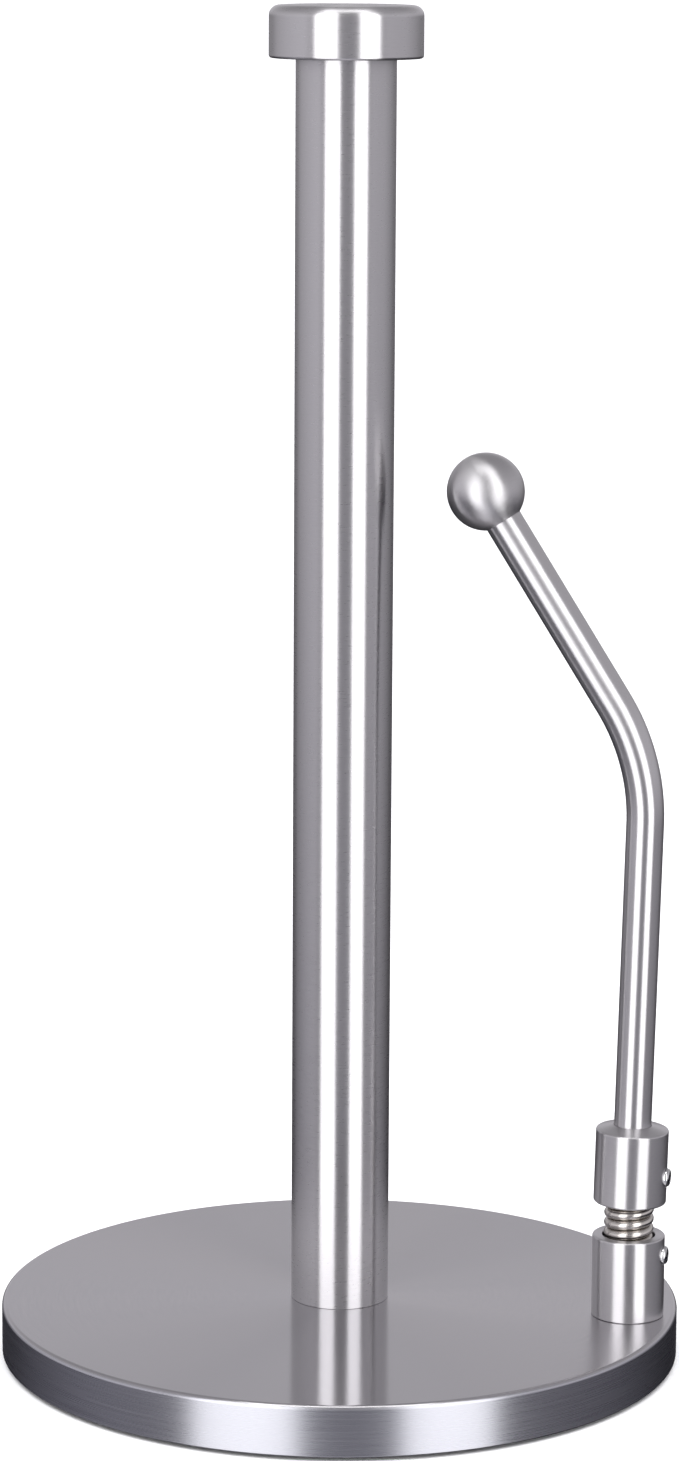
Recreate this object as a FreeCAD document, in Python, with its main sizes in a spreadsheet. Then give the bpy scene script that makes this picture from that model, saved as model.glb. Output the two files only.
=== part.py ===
import FreeCAD, Part
import os
import re
from math import radians

import Sketcher

# Paper towel holder: a weighted round base, a capped post for the roll, and a tension arm that stands on a
# close-wound coil spring and presses its ball end against the roll.
# Millimetres and degrees. +Z is up, the origin is the centre of the base's underside, the arm is on +X.

# Driving dimensions: alias, value, meaning.
SIZES = [
    # Whole object
    ("total_height", 344.0, "floor to the top of the cap"),
    ("fit_gap", 0.05, "radial clearance of plugs, studs and pressed ends"),
    # Base
    ("base_diameter", 174.4, "outside of the base's skin"),
    ("base_height", 14.0, "floor to the top of the base"),
    ("base_wall", 0.8, "sheet thickness of the skin"),
    ("base_edge_radius", 1.2, "outside radius of the skin's top edge"),
    ("skirt_lift", 1.0, "floor to the skirt's lower edge"),
    ("weight_gap", 0.4, "radial clearance between the weight and the skirt"),
    ("pad_thickness", 1.6, "rubber pad"),
    ("pad_inset", 2.0, "weight's edge to the pad's edge"),
    # Post and cap
    ("post_diameter", 25.0, "outside of the tube"),
    ("post_wall", 1.2, "wall of the tube"),
    ("plug_length", 20.0, "each plug in the tube"),
    ("cap_diameter", 38.3, "outside of the cap"),
    ("cap_height", 12.9, "cap"),
    ("cap_wall", 1.2, "wall of the cap's cup"),
    ("cap_top_radius", 2.6, "outside radius of the cap's top edge"),
    ("cap_bottom_radius", 0.7, "outside radius of the cap's lower edge"),
    ("cap_core_inset", 0.4, "core above the cup's lower edge"),
    ("tube_in_cap", 5.5, "length of tube inside the cap"),
    ("cap_stud_diameter", 6.0, "stud"),
    ("cap_stud_in_core", 4.5, "stud above the tube's end"),
    ("cap_stud_in_plug", 10.0, "stud below the tube's end"),
    # Bolts from below
    ("seat_floor", 3.0, "iron left above each bolt seat"),
    ("bolt_hole_gap", 0.3, "radial clearance of a bolt in the weight and the skin"),
    ("bore_gap", 1.5, "radial room round a washer in its counterbore"),
    ("post_bolt_diameter", 6.0, "thread"),
    ("post_bolt_length", 25.0, "below the head"),
    ("post_bolt_flats", 10.0, "across the head's flats"),
    ("post_bolt_head", 4.0, "head height"),
    ("post_washer_diameter", 12.5, "flat washer"),
    ("post_washer_thickness", 1.6, "flat washer"),
    ("post_lock_diameter", 11.8, "lock washer"),
    ("post_lock_thickness", 1.6, "lock washer"),
    ("collar_bolt_diameter", 5.0, "thread"),
    ("collar_bolt_length", 14.0, "below the head"),
    ("collar_bolt_flats", 8.0, "across the head's flats"),
    ("collar_bolt_head", 3.5, "head height"),
    ("collar_washer_diameter", 10.0, "flat washer"),
    ("collar_washer_thickness", 1.0, "flat washer"),
    ("collar_lock_diameter", 9.2, "lock washer"),
    ("collar_lock_thickness", 1.3, "lock washer"),
    ("lock_split", 8.0, "angle missing from a lock washer's ring"),
    # Collars
    ("arm_inset", 12.2, "base's edge to the arm's axis"),
    ("collar_diameter", 18.5, "both collars"),
    ("lower_collar_height", 21.2, "lower collar"),
    ("upper_collar_height", 19.0, "upper collar, without its cone"),
    ("upper_cone_rise", 1.2, "cone between the upper collar's rim and the rod"),
    ("collar_edge", 0.5, "rounded edges of the collars, where the wall allows"),
    ("collar_foot_edge", 0.3, "rounded edge of the lower collar where it stands on the base"),
    ("collar_tap_depth", 8.5, "threaded hole in the lower collar"),
    ("spring_gap", 8.7, "spring showing between the collars"),
    ("spring_depth", 10.0, "spring inside each collar"),
    ("spring_bore_gap", 0.4, "radial clearance round the spring, inside and out"),
    ("bore_floor_gap", 0.5, "spring's end to the bore's floor"),
    ("core_setback", 1.0, "collar's mouth to the end of the core inside the spring"),
    # Coil spring
    ("spring_diameter", 12.7, "outside of the coil"),
    ("wire_diameter", 2.5, "spring wire"),
    ("coil_gap", 0.1, "between neighbouring turns"),
    # Set screws
    ("screw_azimuth", -5.0, "direction of both screws, from +X"),
    ("screw_diameter", 3.0, "thread"),
    ("screw_head_diameter", 4.7, "head"),
    ("screw_head_out", 0.95, "domed head standing out of the collar"),
    ("screw_head_round", 0.9, "rounding of the head"),
    ("screw_socket_flats", 2.0, "across the flats of the hexagon socket"),
    ("screw_socket_depth", 0.9, "hexagon socket"),
    ("screw_tip_gap", 0.15, "screw's tip to the spring"),
    ("lower_screw_drop", 4.9, "lower collar's top to its screw"),
    ("upper_screw_rise", 7.1, "upper collar's mouth to its screw"),
    # Arm
    ("arm_lean", 1.3, "outward lean of the arm at rest"),
    ("rod_diameter", 9.5, "arm rod"),
    ("bend_rise", 119.0, "middle of the spring to the bend's corner"),
    ("bend_radius", 55.0, "centreline radius of the bend"),
    ("ball_diameter", 19.5, "ball"),
    ("ball_height", 224.7, "floor to the ball's centre"),
    ("ball_post_gap", 13.7, "post to the ball at rest"),
    ("ball_stud_diameter", 5.0, "stud"),
    ("ball_stud_in_ball", 7.0, "stud inside the ball"),
    ("ball_stud_in_rod", 9.0, "stud inside the rod"),
    ("stud_end_gap", 0.5, "stud's end to its hole's end"),
]
ALIASES = {alias for alias, _, _ in SIZES}
WORD = re.compile(r"[a-z_][a-z_0-9]*")
TOLERANCE = 1e-4  # for finding an edge by its size and place
UPRIGHT = FreeCAD.Vector(0, 0, 1)
ACROSS = FreeCAD.Vector(0, 1, 0)

# Places worked out from the driving dimensions.
BASE_RADIUS = "(base_diameter / 2)"
SKIN_UNDERSIDE = "(base_height - base_wall)"
WEIGHT_RADIUS = f"({BASE_RADIUS} - base_wall - weight_gap)"
BOLT_SEAT = f"({SKIN_UNDERSIDE} - seat_floor)"
TUBE_BORE = "(post_diameter / 2 - post_wall)"
CAP_BOTTOM = "(total_height - cap_height)"
TUBE_TOP = f"({CAP_BOTTOM} + tube_in_cap)"
ARM_X = f"({BASE_RADIUS} - arm_inset)"
COLLAR_RADIUS = "(collar_diameter / 2)"
SPRING_MIDDLE = "(base_height + lower_collar_height + spring_gap / 2)"
SPRING_BORE = "(spring_diameter / 2 + spring_bore_gap)"
CORE_RADIUS = "(spring_diameter / 2 - wire_diameter - spring_bore_gap)"
BORE_DEPTH = "(spring_depth + bore_floor_gap)"
COLLAR_EDGE = f"min(collar_edge, 0.4 * ({COLLAR_RADIUS} - {SPRING_BORE}))"
SCREW_HEAD = "(screw_head_diameter / 2)"
SCREW_END = f"({COLLAR_RADIUS} + screw_head_out)"
# The spot face under a screw's head lies just inside the collar's curved wall.
SCREW_SEAT = f"(sqrt({COLLAR_RADIUS}^2 - ({SCREW_HEAD} + bolt_hole_gap)^2) - fit_gap)"
ROD_RADIUS = "(rod_diameter / 2)"
BALL_X = "(post_diameter / 2 + ball_post_gap + ball_diameter / 2)"
CORNER_X = f"({ARM_X} + bend_rise * sin(arm_lean))"
CORNER_Z = f"({SPRING_MIDDLE} + bend_rise * cos(arm_lean))"
TOP_ANGLE = f"atan(({CORNER_X} - {BALL_X}) / (ball_height - {CORNER_Z}))"
TOP_LENGTH = f"sqrt(({CORNER_X} - {BALL_X})^2 + (ball_height - {CORNER_Z})^2)"
BEND_ANGLE = f"(arm_lean * 1 deg + {TOP_ANGLE})"
BALL_FLAT = "sqrt((ball_diameter / 2)^2 - (rod_diameter / 2)^2)"

doc = FreeCAD.newDocument("paper_towel_holder")
sheet = doc.addObject("Spreadsheet::Sheet", "sizes")
for row, (alias, size, meaning) in enumerate(SIZES, start=1):
    sheet.set(f"A{row}", alias)
    sheet.set(f"B{row}", str(size))
    sheet.setAlias(f"B{row}", alias)
    sheet.set(f"C{row}", meaning)
doc.recompute()

pieces = []


# Helpers


def linked(expression):
    """The expression with each alias written as the sheet's cell."""
    return WORD.sub(lambda found: f"sizes.{found[0]}" if found[0] in ALIASES else found[0], expression)


def value(expression):
    """The number that an expression gives now."""
    number = sheet.evalExpression(linked(expression))
    return float(getattr(number, "Value", number))


def bind(item, expressions):
    """Ties each property path of an item to its expression."""
    for path, expression in expressions.items():
        item.setExpression(path, linked(expression))


def place(piece, x="0", z="0", lean=None):
    """Stands a piece at x and z, turned about Y by lean if there is one."""
    if lean:
        piece.Placement = FreeCAD.Placement(FreeCAD.Vector(), FreeCAD.Rotation(ACROSS, value(lean)))
        bind(piece, {"Placement.Rotation.Angle": lean})
    bind(piece, {"Placement.Base.x": x, "Placement.Base.z": z})


def on_arm(piece):
    """Puts a piece in the arm's frame: origin at the spring's middle, Z along the leaning arm."""
    place(piece, ARM_X, SPRING_MIDDLE, "arm_lean")


def piece_of(kind, name):
    """A sub-part of the holder, which becomes a file of its own."""
    piece = doc.addObject(kind, name)
    piece.Label = name
    pieces.append(piece)
    return piece


def new_sketch(body, plane, name):
    """A sketch on one of the body's own origin planes."""
    sketch = body.newObject("Sketcher::SketchObject", name)
    support = next(item for item in body.Origin.OriginFeatures if item.Role == plane)
    sketch.AttachmentSupport = [(support, "")]
    sketch.MapMode = "FlatFace"
    return sketch


def fix_point(sketch, line, end, corner):
    """Ties one end of a line to a pair of expressions."""
    for kind, axis, expression in zip(("DistanceX", "DistanceY"), (-2, -1), corner):
        if expression == "0":
            sketch.addConstraint(Sketcher.Constraint("PointOnObject", line, end, axis))
        else:
            made = Sketcher.Constraint(kind, -1, 1, line, end, value(expression))
            index = sketch.addConstraint(made)
            bind(sketch, {f"Constraints[{index}]": expression})


def outline(sketch, corners):
    """A closed outline of straight lines through corners, each a pair of expressions."""
    points = [FreeCAD.Vector(value(x), value(y), 0) for x, y in corners]
    following = points[1:] + points[:1]
    for start, end in zip(points, following):
        sketch.addGeometry(Part.LineSegment(start, end), False)
    for line in range(len(points)):
        sketch.addConstraint(Sketcher.Constraint("Coincident", line, 2, (line + 1) % len(points), 1))
    for line, corner in enumerate(corners):
        fix_point(sketch, line, 1, corner)


def turn(body, sketch, axis, angle="360"):
    """Turns a sketch about one of its axes."""
    made = body.newObject("PartDesign::Revolution", f"{body.Name}_turn")
    made.Profile = sketch
    made.ReferenceAxis = (sketch, [axis])
    bind(made, {"Angle": angle})
    doc.recompute()
    return made


def turned(name, corners, angle="360"):
    """A body turned about Z from corners given as (radius, height)."""
    body = piece_of("PartDesign::Body", name)
    sketch = new_sketch(body, "XZ_Plane", f"{name}_profile")
    outline(sketch, corners)
    turn(body, sketch, "V_Axis", angle)
    return body


def drill(body, name, radius, height, x="0", z="0"):
    """Cuts an upright round hole, from z upwards."""
    hole = body.newObject("PartDesign::SubtractiveCylinder", f"{body.Name}_{name}")
    bind(hole, {"Radius": radius, "Height": height, "Placement.Base.x": x, "Placement.Base.z": z})
    doc.recompute()


def point_sideways(item, start, z):
    """Lays an item's Z along the set screws' direction, from a start at height z."""
    item.Placement = FreeCAD.Placement(FreeCAD.Vector(), FreeCAD.Rotation(ACROSS, 90))
    bind(
        item,
        {
            "Placement.Base.x": f"{start} * cos(screw_azimuth)",
            "Placement.Base.y": f"{start} * sin(screw_azimuth)",
            "Placement.Base.z": z,
            "Placement.Rotation.Axis.x": "-sin(screw_azimuth)",
            "Placement.Rotation.Axis.y": "cos(screw_azimuth)",
        },
    )


def drill_sideways(body, name, radius, start, z):
    """Cuts a round hole from start outwards, through the collar's wall."""
    hole = body.newObject("PartDesign::SubtractiveCylinder", f"{body.Name}_{name}")
    bind(hole, {"Radius": radius, "Height": "collar_diameter"})
    point_sideways(hole, start, z)
    doc.recompute()


def lean_inwards(item, angle, x, z):
    """Stands an item at x and z, its Z turned towards the post by an angle."""
    item.Placement = FreeCAD.Placement(FreeCAD.Vector(), FreeCAD.Rotation(-ACROSS, value(angle)))
    bind(item, {"Placement.Base.x": x, "Placement.Base.z": z, "Placement.Rotation.Angle": angle})


def round_rims(body, name, rims, radius):
    """Rounds the circular edges of a body at rims, each a (radius, height) pair of expressions."""
    wanted = [(value(size), FreeCAD.Vector(0, 0, value(height))) for size, height in rims]
    round_edges(body, name, wanted, radius)


def round_edges(body, name, wanted, radius):
    """Rounds the circular edges of a body that have the wanted (radius, centre)."""
    names = []
    for size, centre in wanted:
        names += [
            f"Edge{number}"
            for number, edge in enumerate(body.Tip.Shape.Edges, start=1)
            if isinstance(edge.Curve, Part.Circle)
            and abs(edge.Curve.Radius - size) < TOLERANCE
            and (edge.Curve.Center - centre).Length < TOLERANCE
        ]
    if len(names) != len(wanted):
        raise RuntimeError(f"{body.Name}: {len(names)} edges found for {len(wanted)} rims")
    base = body.Tip
    made = body.newObject("PartDesign::Fillet", f"{body.Name}_{name}")
    made.Base = (base, names)
    bind(made, {"Radius": radius})
    doc.recompute()


def ring(name, outer, inner, bottom, thickness, angle="360"):
    """A flat ring about Z."""
    top = f"{bottom} + {thickness}"
    return turned(name, [(inner, bottom), (outer, bottom), (outer, top), (inner, top)], angle)


def primitive(kind, name, expressions):
    """A Part primitive with its sizes and place tied to the sheet."""
    made = doc.addObject(kind, name)
    bind(made, expressions)
    return made


def hex_bolt(name, x, underside, thread, flats, head, length):
    """A hex-head bolt standing head down, its head's upper face at underside."""
    prism = primitive("Part::Prism", f"{name}_hex", {"Height": head, "Placement.Base.z": f"-{head}"})
    prism.Polygon = 6
    bind(prism, {"Circumradius": f"{flats} / (2 * cos(30))"})
    shank = primitive("Part::Cylinder", f"{name}_shank", {"Radius": f"{thread} / 2", "Height": length})
    bolt = piece_of("Part::MultiFuse", name)
    bolt.Shapes = [prism, shank]
    place(bolt, x, underside)
    return bolt


def set_screw(name, z):
    """A domed socket screw that points at the spring, at a height in its collar's frame."""
    body = piece_of("PartDesign::Body", name)
    sketch = new_sketch(body, "XZ_Plane", f"{name}_profile")
    azimuth = FreeCAD.Rotation(ACROSS, value("screw_azimuth"))
    sketch.AttachmentOffset = FreeCAD.Placement(FreeCAD.Vector(), azimuth)
    bind(sketch, {"AttachmentOffset.Base.y": z})
    tip = "spring_diameter / 2 + screw_tip_gap"
    outline(
        sketch,
        [
            (tip, "0"),
            (SCREW_END, "0"),
            (SCREW_END, SCREW_HEAD),
            (SCREW_SEAT, SCREW_HEAD),
            (SCREW_SEAT, "screw_diameter / 2"),
            (tip, "screw_diameter / 2"),
        ],
    )
    turn(body, sketch, "H_Axis")
    face = FreeCAD.Rotation(UPRIGHT, value("screw_azimuth")).multVec(FreeCAD.Vector(value(SCREW_END), 0, 0))
    round_edges(body, "dome", [(value(SCREW_HEAD), face + UPRIGHT * value(z))], "screw_head_round")
    socket = body.newObject("PartDesign::SubtractivePrism", f"{name}_socket")
    socket.Polygon = 6
    bind(socket, {"Circumradius": "screw_socket_flats / (2 * cos(30))", "Height": "collar_diameter"})
    point_sideways(socket, f"({SCREW_END} - screw_socket_depth)", z)
    doc.recompute()
    return body


# Base: skin, weight and pad

base_shell = turned(
    "base_shell",
    [
        ("0", SKIN_UNDERSIDE),
        (f"{BASE_RADIUS} - base_wall", SKIN_UNDERSIDE),
        (f"{BASE_RADIUS} - base_wall", "skirt_lift"),
        (BASE_RADIUS, "skirt_lift"),
        (BASE_RADIUS, "base_height"),
        ("0", "base_height"),
    ],
)
round_rims(base_shell, "outer_edge", [(BASE_RADIUS, "base_height")], "base_edge_radius")
round_rims(
    base_shell,
    "inner_edge",
    [(f"{BASE_RADIUS} - base_wall", SKIN_UNDERSIDE)],
    "base_edge_radius - base_wall",
)
POST_BOLT_HOLE = "post_bolt_diameter / 2 + bolt_hole_gap"
COLLAR_BOLT_HOLE = "collar_bolt_diameter / 2 + bolt_hole_gap"
drill(base_shell, "post_hole", POST_BOLT_HOLE, "base_height")
drill(base_shell, "collar_hole", COLLAR_BOLT_HOLE, "base_height", ARM_X)

base_weight = turned(
    "base_weight",
    [
        ("0", "pad_thickness"),
        (WEIGHT_RADIUS, "pad_thickness"),
        (WEIGHT_RADIUS, SKIN_UNDERSIDE),
        ("0", SKIN_UNDERSIDE),
    ],
)
round_rims(base_weight, "top_edge", [(WEIGHT_RADIUS, SKIN_UNDERSIDE)], "base_edge_radius")
POST_BORE = "post_washer_diameter / 2 + bore_gap"
COLLAR_BORE = "collar_washer_diameter / 2 + bore_gap"
drill(base_weight, "post_hole", POST_BOLT_HOLE, "base_height")
drill(base_weight, "post_bore", POST_BORE, BOLT_SEAT)
drill(base_weight, "collar_hole", COLLAR_BOLT_HOLE, "base_height", ARM_X)
drill(base_weight, "collar_bore", COLLAR_BORE, BOLT_SEAT, ARM_X)

non_slip_pad = ring("non_slip_pad", f"{WEIGHT_RADIUS} - pad_inset", POST_BORE, "0", "pad_thickness")
drill(non_slip_pad, "collar_access", COLLAR_BORE, "pad_thickness", ARM_X)


# Post: tube, foot plug and the bolt that holds it down

post_tube = turned(
    "post_tube",
    [
        (TUBE_BORE, "base_height"),
        ("post_diameter / 2", "base_height"),
        ("post_diameter / 2", TUBE_TOP),
        (TUBE_BORE, TUBE_TOP),
    ],
)
PLUG_RADIUS = f"{TUBE_BORE} - fit_gap"
post_foot_plug = ring(
    "post_foot_plug", PLUG_RADIUS, "post_bolt_diameter / 2 + fit_gap", "base_height", "plug_length"
)

POST_LOCK_TOP = f"({BOLT_SEAT} - post_washer_thickness)"
POST_HEAD_TOP = f"({POST_LOCK_TOP} - post_lock_thickness)"
ring("post_flat_washer", "post_washer_diameter / 2", POST_BOLT_HOLE, POST_LOCK_TOP, "post_washer_thickness")
ring(
    "post_lock_washer",
    "post_lock_diameter / 2",
    POST_BOLT_HOLE,
    POST_HEAD_TOP,
    "post_lock_thickness",
    "360 - lock_split",
)
hex_bolt(
    "post_bolt",
    "0",
    POST_HEAD_TOP,
    "post_bolt_diameter",
    "post_bolt_flats",
    "post_bolt_head",
    "post_bolt_length",
)


# Cap: cup, core, and the stud down into the tube's top plug

post_top_plug = turned(
    "post_top_plug",
    [
        ("0", f"{TUBE_TOP} - plug_length"),
        (PLUG_RADIUS, f"{TUBE_TOP} - plug_length"),
        (PLUG_RADIUS, TUBE_TOP),
        ("0", TUBE_TOP),
    ],
)
CAP_STUD_HOLE = "cap_stud_diameter / 2 + fit_gap"
drill(
    post_top_plug,
    "stud_hole",
    CAP_STUD_HOLE,
    "cap_stud_in_plug + stud_end_gap",
    z=f"{TUBE_TOP} - cap_stud_in_plug - stud_end_gap",
)

CUP_BORE = "(cap_diameter / 2 - cap_wall)"
cap_shell = turned(
    "cap_shell",
    [
        ("0", "total_height - cap_wall"),
        (CUP_BORE, "total_height - cap_wall"),
        (CUP_BORE, CAP_BOTTOM),
        ("cap_diameter / 2", CAP_BOTTOM),
        ("cap_diameter / 2", "total_height"),
        ("0", "total_height"),
    ],
)
round_rims(cap_shell, "top_edge", [("cap_diameter / 2", "total_height")], "cap_top_radius")
round_rims(cap_shell, "lower_edge", [("cap_diameter / 2", CAP_BOTTOM)], "cap_bottom_radius")
round_rims(
    cap_shell, "inner_edge", [(CUP_BORE, "total_height - cap_wall")], "cap_top_radius - cap_wall"
)

CORE_TOP = "(total_height - cap_wall)"
CORE_BOTTOM = f"({CAP_BOTTOM} + cap_core_inset)"
CORE_SIDE = f"({CUP_BORE} - fit_gap)"
TUBE_SEAT = "(post_diameter / 2 + fit_gap)"
cap_core = turned(
    "cap_core",
    [
        ("0", TUBE_TOP),
        (TUBE_SEAT, TUBE_TOP),
        (TUBE_SEAT, CORE_BOTTOM),
        (CORE_SIDE, CORE_BOTTOM),
        (CORE_SIDE, CORE_TOP),
        ("0", CORE_TOP),
    ],
)
round_rims(cap_core, "top_edge", [(CORE_SIDE, CORE_TOP)], "cap_top_radius - cap_wall")
drill(cap_core, "stud_hole", CAP_STUD_HOLE, "cap_stud_in_core + stud_end_gap", z=TUBE_TOP)

cap_stud = piece_of("Part::Cylinder", "cap_stud")
bind(cap_stud, {"Radius": "cap_stud_diameter / 2", "Height": "cap_stud_in_plug + cap_stud_in_core"})
place(cap_stud, z=f"{TUBE_TOP} - cap_stud_in_plug")


# Lower collar: holds the spring on the base, with a core inside the spring

LOWER_FLOOR = f"(lower_collar_height - {BORE_DEPTH})"
LOWER_SCREW_Z = "(lower_collar_height - lower_screw_drop)"
SCREW_HOLE = "screw_diameter / 2 + fit_gap"
SCREW_SPOT = "screw_head_diameter / 2 + fit_gap"
lower_collar = turned(
    "lower_collar",
    [
        ("0", "0"),
        (COLLAR_RADIUS, "0"),
        (COLLAR_RADIUS, "lower_collar_height"),
        (SPRING_BORE, "lower_collar_height"),
        (SPRING_BORE, LOWER_FLOOR),
        (CORE_RADIUS, LOWER_FLOOR),
        (CORE_RADIUS, "lower_collar_height - core_setback"),
        ("0", "lower_collar_height - core_setback"),
    ],
)
round_rims(
    lower_collar,
    "mouth_edges",
    [(COLLAR_RADIUS, "lower_collar_height"), (SPRING_BORE, "lower_collar_height")],
    COLLAR_EDGE,
)
round_rims(lower_collar, "foot_edge", [(COLLAR_RADIUS, "0")], "collar_foot_edge")
drill(lower_collar, "tapped_hole", "collar_bolt_diameter / 2 + fit_gap", "collar_tap_depth")
drill_sideways(lower_collar, "screw_hole", SCREW_HOLE, f"({SPRING_BORE} - spring_bore_gap)", LOWER_SCREW_Z)
drill_sideways(lower_collar, "screw_spot", SCREW_SPOT, SCREW_SEAT, LOWER_SCREW_Z)
place(lower_collar, ARM_X, "base_height")

lower_set_screw = set_screw("lower_set_screw", LOWER_SCREW_Z)
place(lower_set_screw, ARM_X, "base_height")

COLLAR_LOCK_TOP = f"({BOLT_SEAT} - collar_washer_thickness)"
COLLAR_HEAD_TOP = f"({COLLAR_LOCK_TOP} - collar_lock_thickness)"
collar_flat_washer = ring(
    "collar_flat_washer",
    "collar_washer_diameter / 2",
    COLLAR_BOLT_HOLE,
    "0",
    "collar_washer_thickness",
)
place(collar_flat_washer, ARM_X, COLLAR_LOCK_TOP)
collar_lock_washer = ring(
    "collar_lock_washer",
    "collar_lock_diameter / 2",
    COLLAR_BOLT_HOLE,
    "0",
    "collar_lock_thickness",
    "360 - lock_split",
)
place(collar_lock_washer, ARM_X, COLLAR_HEAD_TOP)
hex_bolt(
    "collar_bolt",
    ARM_X,
    COLLAR_HEAD_TOP,
    "collar_bolt_diameter",
    "collar_bolt_flats",
    "collar_bolt_head",
    "collar_bolt_length",
)


# Coil spring: close-wound, right-hand, leaning half as much as the arm so that it is clear of both collars

COIL_HEIGHT = "(spring_gap + 2 * spring_depth - wire_diameter)"
COIL_RADIUS = "((spring_diameter - wire_diameter) / 2)"
coil_path = primitive(
    "Part::Helix",
    "coil_path",
    {
        "Pitch": "wire_diameter + coil_gap",
        "Height": COIL_HEIGHT,
        "Radius": COIL_RADIUS,
        "Placement.Base.z": f"-{COIL_HEIGHT} / 2",
    },
)
wire_section = doc.addObject("Part::Circle", "wire_section")
wire_section.Placement = FreeCAD.Placement(
    FreeCAD.Vector(), FreeCAD.Rotation(FreeCAD.Vector(1, 0, 0), 90)
)
bind(
    wire_section,
    {
        "Radius": "wire_diameter / 2",
        "Placement.Base.x": COIL_RADIUS,
        "Placement.Base.z": f"-{COIL_HEIGHT} / 2",
    },
)
doc.recompute()
coil_spring = piece_of("Part::Sweep", "coil_spring")
coil_spring.Sections = [wire_section]
turns = range(1, len(coil_path.Shape.Edges) + 1)
coil_spring.Spine = (coil_path, [f"Edge{number}" for number in turns])
coil_spring.Solid = True
coil_spring.Frenet = True
place(coil_spring, ARM_X, SPRING_MIDDLE, "arm_lean / 2")


# Upper collar, in the arm's frame

MOUTH = "(spring_gap / 2)"
UPPER_FLOOR = f"({MOUTH} + {BORE_DEPTH})"
UPPER_RIM = f"({MOUTH} + upper_collar_height)"
UPPER_SCREW_Z = f"({MOUTH} + upper_screw_rise)"
upper_collar = turned(
    "upper_collar",
    [
        (SPRING_BORE, MOUTH),
        (COLLAR_RADIUS, MOUTH),
        (COLLAR_RADIUS, UPPER_RIM),
        (f"{ROD_RADIUS} + fit_gap", f"{UPPER_RIM} + upper_cone_rise"),
        (f"{ROD_RADIUS} + fit_gap", UPPER_FLOOR),
        (SPRING_BORE, UPPER_FLOOR),
    ],
)
round_rims(
    upper_collar,
    "edges",
    [(COLLAR_RADIUS, MOUTH), (SPRING_BORE, MOUTH), (COLLAR_RADIUS, UPPER_RIM)],
    COLLAR_EDGE,
)
drill_sideways(upper_collar, "screw_hole", SCREW_HOLE, f"({SPRING_BORE} - spring_bore_gap)", UPPER_SCREW_Z)
drill_sideways(upper_collar, "screw_spot", SCREW_SPOT, SCREW_SEAT, UPPER_SCREW_Z)
on_arm(upper_collar)

upper_set_screw = set_screw("upper_set_screw", UPPER_SCREW_Z)
on_arm(upper_set_screw)


# Arm rod: a core inside the spring, a shoulder in the collar, one bend inwards, a threaded hole in its end

CUTBACK = f"(bend_radius * tan({BEND_ANGLE} / 2))"
LOWER_RUN = f"(bend_rise - {UPPER_FLOOR} - {CUTBACK})"
UPPER_RUN = f"({TOP_LENGTH} - {BALL_FLAT} - {CUTBACK})"


def draw_spine(sketch):
    """The rod's centreline: up, one arc towards the post, and on to the ball."""
    bend = value(BEND_ANGLE)
    onwards = FreeCAD.Rotation(UPRIGHT, bend)
    radius = value("bend_radius")
    foot = FreeCAD.Vector(0, value(UPPER_FLOOR), 0)
    arc_start = foot + FreeCAD.Vector(0, value(LOWER_RUN), 0)
    arc_centre = arc_start - FreeCAD.Vector(radius, 0, 0)
    arc_end = arc_centre + onwards.multVec(FreeCAD.Vector(radius, 0, 0))
    rod_end = arc_end + onwards.multVec(FreeCAD.Vector(0, value(UPPER_RUN), 0))
    sketch.addGeometry(Part.LineSegment(foot, arc_start), False)
    sketch.addGeometry(Part.ArcOfCircle(Part.Circle(arc_centre, UPRIGHT, radius), 0, radians(bend)), False)
    sketch.addGeometry(Part.LineSegment(arc_end, rod_end), False)
    fix_point(sketch, 0, 1, ("0", UPPER_FLOOR))
    sketch.addConstraint(Sketcher.Constraint("Vertical", 0))
    sketch.addConstraint(Sketcher.Constraint("Tangent", 0, 2, 1, 1))
    sketch.addConstraint(Sketcher.Constraint("Tangent", 1, 2, 2, 1))
    for made, expression in (
        (Sketcher.Constraint("Distance", 0, value(LOWER_RUN)), LOWER_RUN),
        (Sketcher.Constraint("Radius", 1, radius), "bend_radius"),
        (Sketcher.Constraint("Angle", 2, radians(90 + bend)), f"90 deg + {BEND_ANGLE}"),
        (Sketcher.Constraint("Distance", 2, value(UPPER_RUN)), UPPER_RUN),
    ):
        index = sketch.addConstraint(made)
        bind(sketch, {f"Constraints[{index}]": expression})


def draw_disc(sketch, radius):
    """A circle about the sketch's origin."""
    sketch.addGeometry(Part.Circle(FreeCAD.Vector(), UPRIGHT, value(radius)), False)
    sketch.addConstraint(Sketcher.Constraint("Coincident", 0, 3, -1, 1))
    index = sketch.addConstraint(Sketcher.Constraint("Radius", 0, value(radius)))
    bind(sketch, {f"Constraints[{index}]": radius})


arm_rod = piece_of("PartDesign::Body", "arm_rod")
core_section = new_sketch(arm_rod, "XY_Plane", "arm_rod_core_section")
draw_disc(core_section, CORE_RADIUS)
bind(core_section, {"AttachmentOffset.Base.z": f"{MOUTH} + core_setback"})
core = arm_rod.newObject("PartDesign::Pad", "arm_rod_core")
core.Profile = core_section
bind(core, {"Length": f"{BORE_DEPTH} - core_setback"})
doc.recompute()
spine = new_sketch(arm_rod, "XZ_Plane", "arm_rod_spine")
draw_spine(spine)
rod_section = new_sketch(arm_rod, "XY_Plane", "arm_rod_section")
draw_disc(rod_section, ROD_RADIUS)
bind(rod_section, {"AttachmentOffset.Base.z": UPPER_FLOOR})
doc.recompute()
rod = arm_rod.newObject("PartDesign::AdditivePipe", "arm_rod_pipe")
rod.Profile = rod_section
rod.Spine = (spine, ["Edge1", "Edge2", "Edge3"])
doc.recompute()
stud_hole = arm_rod.newObject("PartDesign::SubtractiveCylinder", "arm_rod_stud_hole")
HOLE_DEPTH = "(ball_stud_in_rod + stud_end_gap)"
HOLE_FLOOR = f"({TOP_LENGTH} - {BALL_FLAT} - {HOLE_DEPTH})"
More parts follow.
